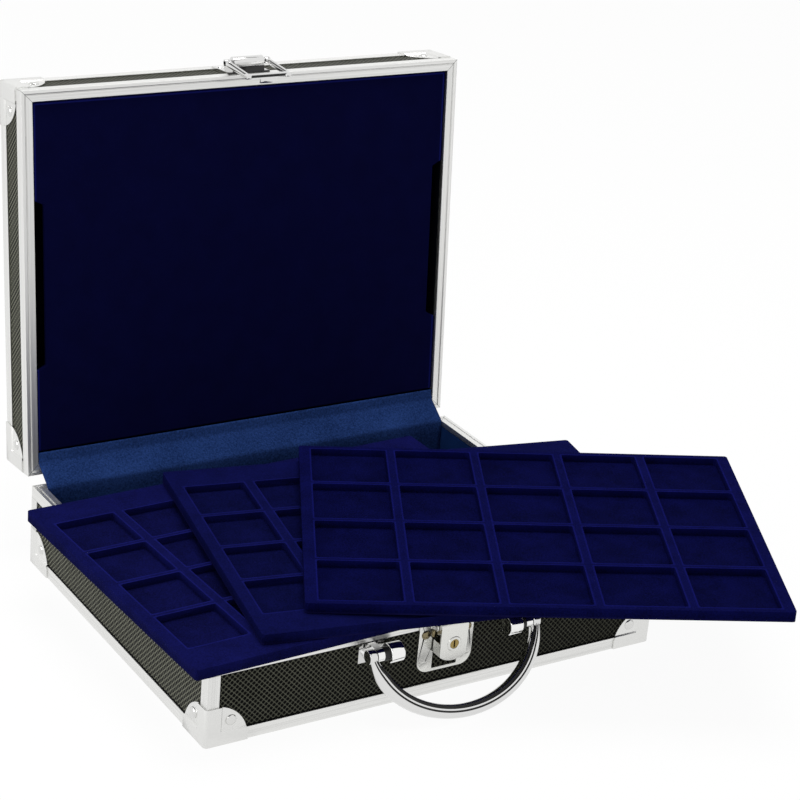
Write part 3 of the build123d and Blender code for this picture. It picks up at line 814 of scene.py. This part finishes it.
@dataclass
class CornerBrackets:
    """Pressed steel corners: bands over the profiles, and a round ear sunk to the board."""

    sheet: float = 0.8 * MM
    height: float = 25.3 * MM
    band: float = 9.6 * MM
    foot: float = 27.5 * MM
    # the ear: how deep it is sunk, where it ends low down, and how far its edge bulges
    step: float = 0.9 * MM
    ear_end: tuple[float, float] = (26.6 * MM, 8.3 * MM)
    ear_rise: float = 3.2 * MM
    ear_cuts: int = 9
    # where the sheet slopes down to the ear: across the upright band, and up the low one
    slope_x: tuple[float, float] = (9.4 * MM, 10.2 * MM)
    slope_z: tuple[float, float] = (8.4 * MM, 9.2 * MM)
    corner_round: float = 2.4 * MM
    rivet: tuple[float, float] = (16.2 * MM, 15.4 * MM)
    rivet_radius: float = 3.5 * MM

    def leaf(self) -> Piece:
        """Models one wall's leaf as a single sheet, in the front left corner's frame.

        Returns:
            The leaf, not yet thickened.
        """
        deselect()
        bpy.ops.mesh.primitive_plane_add(
            size=1.0,
            location=((self.foot - self.sheet) / 2, -self.sheet, self.height / 2),
            rotation=(math.pi / 2, 0, 0),
        )
        leaf = settle((self.foot + self.sheet, self.height, 1))
        # the ear's edge is an arc between the two bands, cut by lines that touch it
        start, end = Vector((self.band, self.height)), Vector(self.ear_end)
        half = (end - start).length / 2
        radius = (half**2 + self.ear_rise**2) / (2 * self.ear_rise)
        out = Vector((start.y - end.y, end.x - start.x)).normalized()
        centre = (start + end) / 2 - out * (radius - self.ear_rise)
        first = math.atan2(start.y - centre.y, start.x - centre.x)
        last = math.atan2(end.y - centre.y, end.x - centre.x)
        with editing(leaf):
            for step in range(self.ear_cuts):
                turn = first + (last - first) * (step + 0.5) / self.ear_cuts
                normal = (math.cos(turn), 0, math.sin(turn))
                touch = (centre.x + radius * normal[0], 0, centre.y + radius * normal[2])
                cut(touch, normal, clear_outer=True)
            for place in self.slope_x:
                cut((place, 0, 0), (1, 0, 0))
            for place in self.slope_z:
                cut((0, 0, place), (0, 0, 1))
            sunk_x, sunk_z = self.slope_x[1] - 0.1 * MM, self.slope_z[1] - 0.1 * MM
            select(leaf, "VERT", lambda spot, _: spot.x > sunk_x and spot.z > sunk_z)
            bpy.ops.transform.translate(value=(0, self.step, 0))
        return leaf

    def corner(self) -> Piece:
        """Folds two leaves into one bracket with a rounded upright edge.

        Returns:
            The bracket.
        """
        leaf = self.leaf()
        bracket = join([leaf, copy_at(leaf, SWAP)], "bracket")
        with editing(bracket):
            bpy.ops.mesh.remove_doubles(threshold=1e-5)
            edge = -self.sheet + 1e-5
            select(bracket, "VERT", lambda spot, _: spot.x < edge and spot.y < edge)
            bpy.ops.mesh.bevel(offset=self.corner_round, segments=5, affect="EDGES")
        apply(bracket, "SOLIDIFY", thickness=self.sheet, offset=-1.0, use_even_offset=True)
        apply(bracket, "BEVEL", width=0.22 * MM, segments=2, limit_method="ANGLE")
        smooth(bracket, 30)
        return bracket

    def rivets(self) -> Piece:
        """Models the two dome heads of one bracket.

        Returns:
            The pair of heads.
        """
        along, up = self.rivet
        head = rivet_head(self.rivet_radius, 0.42, 16)
        seat = self.step - self.sheet + 0.02 * MM
        head.data.transform(Matrix.Translation((along, seat, up)))
        smooth(head)
        return join([head, copy_at(head, SWAP)], "rivet_pair")

    def build(self) -> None:
        """Places a bracket and its rivets at every corner of both shells."""
        bracket, rivets = self.corner(), self.rivets()
        steel, head = NICKEL.make(), RIVET.make()
        for place in Place:
            shell = place.value
            frame = Matrix.Identity(4) if place is Place.BASE else OPEN_LID @ TURN_OVER
            for made, material, node in (
                (bracket, steel, shell + "_corner_brackets"),
                (rivets, head, shell + "_corner_rivets"),
            ):
                copies = []
                for x, y in ((-1, -1), (-1, 1), (1, -1), (1, 1)):
                    corner = Matrix.Translation((x * CASE_W / 2, y * CASE_D / 2, 0))
                    mirror = Matrix.Diagonal((-x, -y, 1, 1))
                    copies.append(copy_at(made, frame @ corner @ mirror))
                piece = join(copies, node + "_pressed")
                dress(piece, material)
                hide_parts(node)
                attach(piece, shell)
            LOG.info("%s corner brackets", shell)
        for made in (bracket, rivets):
            bpy.data.objects.remove(made)


@dataclass
class Shells:
    """The framed base and lid: profiles, covered boards, hinges and what lines them."""

    nodes: dict[str, Piece]
    rounding: float = 0.35 * MM

    def dress_profiles(self, place: Place) -> None:
        """Gives the aluminium profiles their draw lines.

        Args:
            place: the shell that they frame.
        """
        shell = place.value
        level = AnodisedAluminium(shell + "_profile", ALUMINIUM, 0.36, 1.0, place).make()
        upright = AnodisedAluminium(shell + "_post", ALUMINIUM, 0.36, 1.0, place, True).make()
        closed_side = "base_bottom_edges" if place is Place.BASE else "lid_edges"
        for name, material in (
            (closed_side, level),
            (shell + "_rim", level),
            (shell + "_corner_posts", upright),
        ):
            dress(self.nodes[name], material)
            soften(self.nodes[name], self.rounding)
        LOG.info("%s profiles", shell)

    def dress_panels(self, place: Place) -> None:
        """Covers the boards with the diamond pattern, each in its own plane.

        Args:
            place: the shell that they belong to.
        """
        shell = place.value
        walls = {
            "_front_panel": Wall.FRONT,
            "_rear_panel": Wall.FRONT,
            "_left_panel": Wall.SIDE,
            "_right_panel": Wall.SIDE,
            "_bottom_panel" if place is Place.BASE else "_top_panel": Wall.LEVEL,
        }
        for name, wall in walls.items():
            finish = DiamondPanel(shell + name + "_cover", "#050505", 0.42, 0.0, place, wall)
            # the side walls' ground is painted paler, as painted light on the walls that face
            # sideways
            if wall is Wall.SIDE:
                finish = replace(finish, ground="#76776a", worn="#636458")
            dress(self.nodes[shell + name], finish.make())
        LOG.info("%s panels", shell)

    def dress_hinges(self) -> None:
        """Plates the leaves and rivets, and leaves the pins bare."""
        nickel = NICKEL.make()
        for place in Place:
            for name in ("_hinge_leaves", "_hinge_rivets"):
                dress(self.nodes[place.value + name], nickel)
        dress(self.nodes["hinge_pins"], PIN_STEEL.make())
        LOG.info("hinges")

    def dress_inside(self) -> None:
        """Covers the linings, the insert panel and its battens."""
        for name, finish in (
            ("base_lining", LINING_FELT),
            # the lid's lining is painted nearly black as painted shade in the deep lid
            ("lid_lining", SHADED_LINING_FELT),
            ("lid_insert_panel", INSERT_VELVET),
            ("lid_battens", BATTEN_WOOD),
        ):
            dress(self.nodes[name], finish.make())
        soften(self.nodes["lid_insert_panel"], 0.8 * MM, 3)
        LOG.info("linings")

    def build(self) -> None:
        """Dresses both shells."""
        for place in Place:
            self.dress_profiles(place)
            self.dress_panels(place)
        self.dress_hinges()
        self.dress_inside()


@dataclass
class HingeStrip:
    """Felt strip glued over the hinge side, from the lid's lining to the base's."""

    width: float = 304 * MM
    thick: float = 0.9 * MM
    # across the case's section, from the lid down into the base: Y and Z
    route: tuple[tuple[float, float], ...] = (
        (0.1366, 0.0724),
        (0.1342, 0.0656),
        (0.1192, 0.0551),
        (0.1187, 0.0500),
        (0.1187, 0.0290),
    )
    rows: int = 36
    columns: int = 90
    # the cloth's slight waves: their height, and how they run across it and along it
    sway: float = 0.25 * MM
    across: float = 55.0
    along: float = 3.0

    def spans(self) -> list[float]:
        """The length of each straight stretch of the route."""
        return [math.dist(a, b) for a, b in zip(self.route, self.route[1:])]

    def point(self, share: float) -> tuple[float, float]:
        """The route's point at a share of its length.

        Args:
            share: from 0 at the lid to 1 in the base.

        Returns:
            Its Y and Z.
        """
        spans = self.spans()
        left = share * sum(spans)
        for a, b, span in zip(self.route, self.route[1:], spans):
            if left <= span:
                t = left / span
                return (a[0] + (b[0] - a[0]) * t, a[1] + (b[1] - a[1]) * t)
            left -= span
        return self.route[-1]

    def build(self) -> None:
        deselect()
        bpy.ops.mesh.primitive_grid_add(
            x_subdivisions=self.columns, y_subdivisions=self.rows, size=1.0
        )
        strip = bpy.context.object
        strip.name = "felt_hinge_strip"
        for vertex in strip.data.vertices:
            share = 0.5 - vertex.co.y
            y, z = self.point(share)
            x = vertex.co.x * self.width
            wave = math.sin(x * self.across + share * self.along)
            sway = self.sway * wave * math.sin(math.pi * share)
            vertex.co = (x, y - sway, z + sway)
        apply(strip, "SOLIDIFY", thickness=self.thick, offset=0.0)
        bpy.ops.object.shade_smooth()
        dress(strip, HINGE_FELT.make())
        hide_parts("hinge_strip")
        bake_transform(strip)
        LOG.info("felt strip")


@dataclass
class CarryingHandle:
    """Chrome bail, hung from two eyes, with a narrow and a wide black groove along it."""

    middle: tuple[float, float, float] = (1.0 * MM, -136 * MM, 42 * MM)
    half: float = 61 * MM
    long: float = 47.8 * MM
    hang: float = 57.5
    eye_width: float = 5.3 * MM
    eye_radius: float = 4.6 * MM
    # the band's width at the eyes, as a share, and how far along it reaches its full width
    narrowed: float = 0.62
    widened_at: float = 0.4
    # in from the outer edge, and out from the bail's own plane, in millimetres
    profile: tuple[tuple[float, float], ...] = (
        (0.9, -3.4), (0.15, -2.6), (0.0, -1.2), (0.0, 0.4), (0.3, 1.7), (1.1, 2.9), (2.3, 3.4),
        (3.3, 3.5), (3.5, 2.8), (4.3, 2.8), (4.5, 3.6), (5.1, 3.85), (5.5, 3.75), (5.7, 2.6),
        (7.3, 2.3), (7.5, 3.1), (8.0, 2.9), (8.5, 1.6), (8.5, -1.6), (7.9, -3.0), (6.6, -3.7),
        (3.6, -3.8),
    )  # fmt: skip
    # the heights between which each groove's floor lies, in millimetres
    floors: tuple[tuple[float, float], ...] = ((2.75, 2.85), (2.25, 2.65))

    def bail(self) -> Piece:
        """Spins the profile through half a turn, then draws the half circle to its ellipse.

        Returns:
            The bail in its own plane.
        """
        deselect()
        bpy.ops.mesh.primitive_circle_add(
            vertices=len(self.profile), radius=1 * MM, fill_type="NGON"
        )
        bail = bpy.context.object
        for corner, (inward, out) in zip(bail.data.vertices, self.profile):
            corner.co = (-self.half + inward * MM, 0, out * MM)
        with editing(bail):
            bpy.ops.mesh.spin(steps=84, angle=math.pi, center=(0, 0, 0), axis=(0, 0, 1))
        for corner in bail.data.vertices:
            x, y, z = corner.co
            reach = math.hypot(x, y)
            across, along = x / reach, -abs(y) / reach
            rise = min(1.0, -along / self.widened_at)
            share = self.narrowed + (1 - self.narrowed) * rise * rise * (3 - 2 * rise)
            inward = (self.half - reach) * share
            normal = Vector((across / self.half, along / self.long)).normalized()
            corner.co = (
                self.half * across - normal.x * inward,
                self.long * along - normal.y * inward,
                z,
            )
        with editing(bail):
            bpy.ops.mesh.remove_doubles(threshold=1e-6)
            bpy.ops.mesh.normals_make_consistent(inside=False)
        return bail

    def eye(self, side: int) -> Piece:
        """Models the eye at one end of the bail, with rounded rims.

        Args:
            side: -1 for the left end and 1 for the right one.

        Returns:
            The eye.
        """
        middle = (side * (self.half - self.eye_width / 2), 0, 0)
        eye = rod(self.eye_radius, self.eye_width, middle, 40)
        apply(eye, "BEVEL", width=0.9 * MM, segments=3, limit_method="ANGLE")
        return eye

    def build(self) -> None:
        """Models, places and plates the handle, and paints its grooves black as painted shade."""
        handle = join([self.bail(), self.eye(-1), self.eye(1)], "handle_bail_ribbed")
        dress(handle, HANDLE_CHROME.make())
        handle.data.materials.append(RECESS_SHADE.make())
        # the groove floors get the black of painted shade
        for face in handle.data.polygons:
            heights = [handle.data.vertices[i].co.z / MM for i in face.vertices]
            on_floor = any(low < min(heights) and max(heights) < top for low, top in self.floors)
            if len(heights) == 4 and on_floor:
                face.material_index = 1
        handle.data.transform(
            Matrix.Translation(self.middle) @ Matrix.Rotation(math.radians(self.hang), 4, "X")
        )
        smooth(handle, 40)
        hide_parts("handle_bail")
        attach(handle, "handle")
        LOG.info("carrying handle")


@dataclass
class HandleKnobs:
    """Turned knobs beside the handle's eyes, each on a dark neck."""

    radius: float = 6.3 * MM
    head: float = 9.4 * MM
    neck: tuple[float, float] = (4.3 * MM, 3.6 * MM)
    # how far the neck reaches into the head
    tenon: float = 0.4 * MM

    def knob(self, side: int, low: Sequence[float], high: Sequence[float]) -> list[Piece]:
        """Models one knob inside its half of the plain solid's box.

        Args:
            side: -1 for the left knob and 1 for the right one.
            low: the box's lowest corner.
            high: the box's highest corner.

        Returns:
            The head and the neck.
        """
        outer = low[0] if side < 0 else high[0]
        level = ((low[1] + high[1]) / 2, (low[2] + high[2]) / 2)
        radius, long = self.neck
        made = []
        for size, inward, finish in (
            ((self.radius, self.head), long + self.head / 2, CHROME),
            # the neck is painted black as painted shade
            ((radius, long + self.tenon), (long + self.tenon) / 2, RECESS_SHADE),
        ):
            part = rod(*size, (outer - side * inward, *level), 48)
            apply(part, "BEVEL", width=0.9 * MM, segments=4, limit_method="ANGLE")
            dress(part, finish.make())
            made.append(part)
        with editing(made[0]):
            select(made[0], "FACE", lambda _, normal: normal.x * side < -0.99)
            bpy.ops.mesh.inset(thickness=1.5 * MM, depth=-0.5 * MM)
        return made

    def build(self) -> None:
        """Models, joins and plates both knobs."""
        low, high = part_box("handle_bosses")
        knobs = join(self.knob(-1, low, high) + self.knob(1, low, high), "handle_knobs")
        smooth(knobs)
        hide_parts("handle_bosses")
        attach(knobs, "base")
        LOG.info("handle knobs")


@dataclass
class LatchLoop:
    """Loop that hooks on the lock's lever: grooved side bars, hollow end bar and tongue."""

    middle_x: float = 0.8 * MM
    pin: tuple[float, float] = (-134 * MM, 62.5 * MM)
    width: float = 33 * MM
    bar: float = 3.6 * MM
    thick: float = 2.6 * MM
    long: float = 31 * MM
    tilt: float = 7.5
    knuckle: float = 2.2 * MM
    tongue: tuple[float, float, float] = (11 * MM, 4.6 * MM, 1.6 * MM)
    # how wide a lip is left round each recess, and how deep the recess is
    groove: tuple[float, float] = (1.0 * MM, 0.7 * MM)
    hollow: tuple[float, float] = (0.5 * MM, 0.8 * MM)

    def frame(self, metal: bpy.types.Material, recess: bpy.types.Material) -> Piece:
        """Models the three bars as one U, hanging down from the pin.

        Args:
            metal: the bars' material.
            recess: the black material of their grooves, painted shade.

        Returns:
            The frame, with its recesses in the second material slot.
        """
        deselect()
        bpy.ops.mesh.primitive_plane_add(
            size=1.0, location=(0, 0, -self.long / 2), rotation=(math.pi / 2, 0, 0)
        )
        frame = settle((self.width, self.long, 1))
        inner = self.width / 2 - self.bar
        floor = -self.long + self.bar
        with editing(frame):
            for place in (-inner, inner):
                cut((place, 0, 0), (1, 0, 0))
            cut((0, 0, floor), (0, 0, 1))
            select(frame, "FACE", lambda spot, _: abs(spot.x) < inner and spot.z > floor)
            bpy.ops.mesh.delete(type="FACE")
        apply(frame, "SOLIDIFY", thickness=self.thick, offset=0.0)
        frame.data.materials.append(metal)
        frame.data.materials.append(recess)
        frame.active_material_index = 1
        # the side bars are grooved from the front, and the end bar is hollow from below; both are
        # painted black as painted shade
        recesses = (
            (self.groove, Vector((0, 1, 0)), lambda x, z: abs(x) > inner and z > floor),
            (self.hollow, Vector((0, 0, 1)), lambda x, z: abs(x) < inner),
        )
        with editing(frame):
            for (lip, depth), way, held in recesses:
                select(
                    frame,
                    "FACE",
                    lambda spot, normal: normal.dot(way) < -0.9 and held(spot.x, spot.z),
                )
                bpy.ops.mesh.inset(thickness=lip, depth=0)
                bpy.ops.transform.translate(value=way * depth)
                bpy.ops.object.material_slot_assign()
        return frame

    def build(self) -> None:
        """Models, places and plates the loop."""
        metal, recess = HANDLE_CHROME.make(), RECESS_SHADE.make()
        parts = [self.frame(metal, recess)]
        for side in (-1, 1):
            middle = (side * (self.width - self.bar) / 2, 0, 0)
            parts.append(rod(self.knuckle, self.bar, middle, 32))
        # the tongue starts 1 mm inside the end bar
        drop = self.tongue[1]
        deselect()
        bpy.ops.mesh.primitive_cube_add(
            size=1.0, location=(0, (self.thick + drop) / 2 - 1 * MM, -self.long + self.bar / 2)
        )
        parts.append(settle(self.tongue))
        for part in parts[1:]:
            dress(part, metal)
        loop = join(parts, "latch_loop_grooved")
        apply(loop, "BEVEL", width=0.35 * MM, segments=2, limit_method="ANGLE")
        place = Matrix.Translation((self.middle_x, *self.pin))
        loop.data.transform(OPEN_LID @ place @ Matrix.Rotation(math.radians(self.tilt), 4, "X"))
        smooth(loop)
        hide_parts("latch_loop")
        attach(loop, "loop")
        LOG.info("latch loop")


@dataclass
class LockFittings:
    """Lock plate's rivets: domed along the top, and filed flush at the lower corners."""

    middle_x: float = 0.8 * MM
    face: float = -128 * MM
    radius: float = 3.0 * MM
    # across the plate and up from the floor, in millimetres
    domed: tuple[tuple[float, float], ...] = ((-14.8, 43.0), (-8.0, 43.0), (14.8, 43.0))
    flush: tuple[tuple[float, float], ...] = ((-14.8, 21.5), (14.8, 21.5))

    def build(self) -> None:
        """Models the heads in place of the plain ones."""
        rows = (
            ("lock_rivets_domed", self.domed, 0.5, AGED_BRASS, "brass_key"),
            ("lock_rivets_flush", self.flush, 0.05, SATIN_CHROME, "chrome_plate"),
        )
        for name, places, rise, finish, slot in rows:
            made = rivet_head(self.radius, rise, 14)
            copies = [
                copy_at(made, Matrix.Translation((self.middle_x + x * MM, self.face, z * MM)))
                for x, z in places
            ]
            bpy.data.objects.remove(made)
            piece = join(copies, name)
            smooth(piece)
            dress(piece, finish.make())
            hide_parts("lock_rivets")
            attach(piece, "base")
        LOG.info("lock rivets")


@dataclass
class Fittings:
    """Lock, latch and handle mounts."""

    nodes: dict[str, Piece]

    def build(self) -> None:
        """Plates the pieces, and rounds the cast ones."""
        for finish, names in (
            (CHROME, ("latch_rivets", "handle_mounts")),
            (SATIN_CHROME, ("lock_plate", "lock_lever")),
            (LATCH_CHROME, ("latch_plate",)),
            (BRASS, ("lock_plug",)),
            (PIN_STEEL, ("lock_hinge_pin", "latch_pin", "handle_pins")),
        ):
            material = finish.make()
            for name in names:
                dress(self.nodes[name], material)
        for name in ("lock_plate", "lock_lever", "latch_plate"):
            soften(self.nodes[name], 0.45 * MM, 3)
        LOG.info("lock, latch and handle mounts")


@dataclass
class Trays:
    """Three coin trays: a flocked moulding on a thin board."""

    nodes: dict[str, Piece]
    rounding: float = 0.7 * MM
    # middle of each tray's underside, its turn and its tilt, then its cells, and its own
    # shade of flock: in the cells, and the pale tone of its nap, which is also its painted light
    # on wall tops and cell rims
    trays: tuple[tuple[Any, ...], ...] = (
        ("lower", (-32.95, -23.49, 54.8), 2.15, 0.0, 40, 6, "#07082a", "#131658"),
        ("middle", (36.63, -47.88, 61.8), -10.93, 0.0, 40, 6, "#050728", "#101350"),
        ("upper", (87.80, -86.83, 72.871), -28.03, -1.6, 50, 5, "#030423", "#0d1050"),
    )

    def build(self) -> None:
        """Dresses the trays."""
        card = TRAY_CARD.make()
        for name, spot, turn, tilt, cell, columns, shade, nap_highlight in self.trays:
            flock = TrayFlock(
                f"tray_{name}_flock",
                shade,
                1.0,
                edge=nap_highlight,
                # fibres stand in tufts; drawn 1 mm apart so that they show
                fibre=1.0 * MM,
                speckle=0.42,
                spot=tuple(v * MM for v in spot),
                turn=turn,
                tilt=tilt,
                cell=cell * MM,
                columns=columns,
            )
            inlay = self.nodes[f"tray_{name}_inlay"]
            dress(inlay, flock.make())
            soften(inlay, self.rounding, 3)
            dress(self.nodes[f"tray_{name}_board"], card)
            LOG.info("%s tray", name)


@dataclass
class Studio:
    """Floor, soft lamps, black cards and the photograph's camera."""

    spot: Vector = field(default_factory=lambda: Vector((-0.688625, -1.100449, 0.696645)))
    yaw: float = -34.242
    pitch: float = -24.092
    roll: float = -5.462
    lens: float = 100.81
    shift: tuple[float, float] = (-0.0335, 0.0568)
    # the world's strength on what isn't seen plainly, and the floor's share of plain white
    sky: float = 0.42
    glow: float = 0.95
    # each lamp's name, place, width, and power in watts
    lamps: tuple[tuple[Any, ...], ...] = (
        ("key", (0.1, 0.1, 1.9), 1.2, 26.0),
        ("fill", (-1.3, -1.2, 1.2), 1.2, 5.0),
        ("left", (-1.7, 0.2, 0.5), 0.9, 9.0),
    )
    # each black card's name, place and size
    cards: tuple[tuple[Any, ...], ...] = (
        ("card_over", (0.1, 0.4, 1.5), (1.5, 0.22, 1)),
        ("card_camera", (-0.9, -1.35, 1.3), (1.1, 0.55, 1)),
        ("card_top", (-0.3, -0.4, 1.6), (1.7, 1.1, 1)),
        ("card_right", (1.9, -0.15, 0.3), (1.5, 0.55, 1)),
    )

    def aim(self, thing: Piece, at: tuple[float, float, float]) -> None:
        """Turns a lamp or a card to face a point.

        Args:
            thing: the lamp or the card, at its place.
            at: the point.
        """
        way = Vector(at) - thing.location
        thing.rotation_mode = "QUATERNION"
        thing.rotation_quaternion = way.to_track_quat("-Z", "Y")

    def camera(self) -> None:
        """Stands the camera where the photograph was taken."""
        data = bpy.data.cameras.new("camera")
        data.lens = self.lens
        data.sensor_width = 36.0
        data.shift_x, data.shift_y = self.shift
        data.clip_end = 20.0
        camera = bpy.data.objects.new("camera", data)
        bpy.context.scene.collection.objects.link(camera)
        turn = (
            Matrix.Rotation(math.radians(self.yaw), 3, "Z")
            @ Matrix.Rotation(math.radians(self.pitch), 3, "X")
            @ Matrix.Rotation(math.radians(self.roll), 3, "Y")
        )
        right, ahead, up = turn.col
        frame = Matrix((right, up, -ahead)).transposed().to_4x4()
        frame.translation = self.spot
        camera.matrix_world = frame
        bpy.context.scene.camera = camera

    def seen_plainly(self, tree: Tree) -> Node:
        """One for the camera, in metal and through glass, and zero for other light.

        Args:
            tree: the material's or the world's node tree.

        Returns:
            The node that gives it.
        """
        path = add(tree, "LightPath").outputs
        rays = [path["Is Glossy Ray"], path["Is Transmission Ray"]]
        shiny = add(tree, "MAXIMUM", rays)
        return add(tree, "MAXIMUM", [path["Is Camera Ray"], shiny])

    def light(self) -> None:
        """Lights the case with a pale world and three soft lamps."""
        world = bpy.data.worlds.new("studio")
        world.use_nodes = True
        bpy.context.scene.world = world
        # white behind the case and in its metal, a plain pale light on everything else
        seen = self.seen_plainly(world.node_tree)
        strength = add(world.node_tree, "MapRange", [seen, 0.0, 1.0, self.sky, 1.0])
        background = world.node_tree.nodes["Background"]
        feed(background, {"Color": (1, 1, 1, 1), "Strength": strength})
        for name, spot, size, power in self.lamps:
            data = bpy.data.lights.new(name, "AREA")
            data.shape = "DISK"
            data.size = size
            data.energy = power
            lamp = bpy.data.objects.new(name, data)
            bpy.context.scene.collection.objects.link(lamp)
            lamp.location = spot
            self.aim(lamp, (0.0, 0.0, 0.1))

    def stand_cards(self) -> None:
        """Stands black cards, seen only in polished metal, that draw its dark lines."""
        for name, spot, size in self.cards:
            deselect()
            bpy.ops.mesh.primitive_plane_add(size=1.0, location=spot)
            card = bpy.context.object
            card.name = name
            card.scale = size
            self.aim(card, (0.0, -0.1, 0.1))
            for kind in ("camera", "diffuse", "transmission", "volume_scatter", "shadow"):
                setattr(card, "visible_" + kind, False)
            dress(card, Finish("black_card", "#060606", 0.9).make())

    def floor(self) -> None:
        """Lays the pale floor."""
        deselect()
        bpy.ops.mesh.primitive_plane_add(size=12.0, location=(0, 0, -0.0002))
        floor = bpy.context.object
        floor.name = "floor"
        material = bpy.data.materials.new("floor_paper")
        material.use_nodes = True
        tree = material.node_tree
        tree.nodes.remove(tree.nodes["Principled BSDF"])
        paper = add(tree, "BsdfDiffuse", [linear("#f4f4f4")])
        white = add(tree, "Emission", [(1, 1, 1, 1), 1.0])
        share = add(tree, "MULTIPLY", [self.seen_plainly(tree), self.glow])
        mixed = add(tree, "MixShader", [share, paper, white])
        feed(tree.nodes["Material Output"], {"Surface": mixed})
        dress(floor, material)

    def build(self) -> None:
        """Sets up the whole studio."""
        self.floor()
        self.light()
        self.stand_cards()
        self.camera()
        bpy.context.scene.view_settings.view_transform = "Standard"
        LOG.info("studio")


def main() -> None:
    """Builds every piece of the case in order, then the studio round it."""
    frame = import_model()
    nodes = frame["nodes"]
    deselect()
    Shells(nodes).build()
    CornerBrackets().build()
    HingeStrip().build()
    Fittings(nodes).build()
    LockFittings().build()
    LatchLoop().build()
    CarryingHandle().build()
    HandleKnobs().build()
    Trays(nodes).build()
    Studio().build()


if __name__ == "__main__":
    main()
